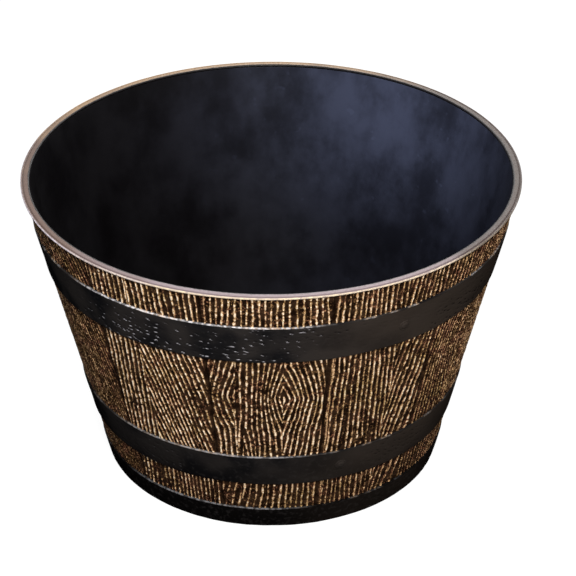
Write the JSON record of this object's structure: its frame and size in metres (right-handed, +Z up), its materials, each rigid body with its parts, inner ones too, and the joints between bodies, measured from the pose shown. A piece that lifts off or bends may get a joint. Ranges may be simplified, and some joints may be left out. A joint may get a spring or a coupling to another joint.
{
  "type": "flower pot",
  "caption": "Round tapered resin planter with a half-barrel look: wood-grain staves, dark hoops, a thin rim and a lift-out drain plug.",
  "frame": {"origin": "middle of the base, on the ground", "axes": "+Z up the pot's axis, the seen front towards -Y, +X to its right"},
  "size_m": [0.39, 0.39, 0.244],
  "materials": {
    "black_resin": "smooth satin black",
    "wood_look_resin": "moulded wood grain, dark brown with dry-brushed gold ridges",
    "hoop_black": "satin black, hammered",
    "bronze_rim": "satin bronze brown",
    "plug_black": "matt black"
  },
  "bodies": {
    "root": {"inner_pot": "black_resin", "stave_01": "wood_look_resin", "stave_02": "wood_look_resin", "stave_03": "wood_look_resin", "stave_04": "wood_look_resin", "stave_05": "wood_look_resin", "stave_06": "wood_look_resin", "stave_07": "wood_look_resin", "stave_08": "wood_look_resin", "stave_09": "wood_look_resin", "stave_10": "wood_look_resin", "stave_11": "wood_look_resin", "stave_12": "wood_look_resin", "rim_ring": "bronze_rim", "upper_hoop": "hoop_black", "lower_hoop": "hoop_black", "base_hoop": "hoop_black", "upper_hoop_rivet": "hoop_black", "lower_hoop_rivet": "hoop_black"},
    "plug": {"drain_plug": "plug_black"}
  },
  "joints": [
    {"name": "drain_plug_pull", "type": "slide", "parent": "root", "child": "plug", "axis": [0, 0, 1], "range_m": [0, 0.03]}
  ]
}
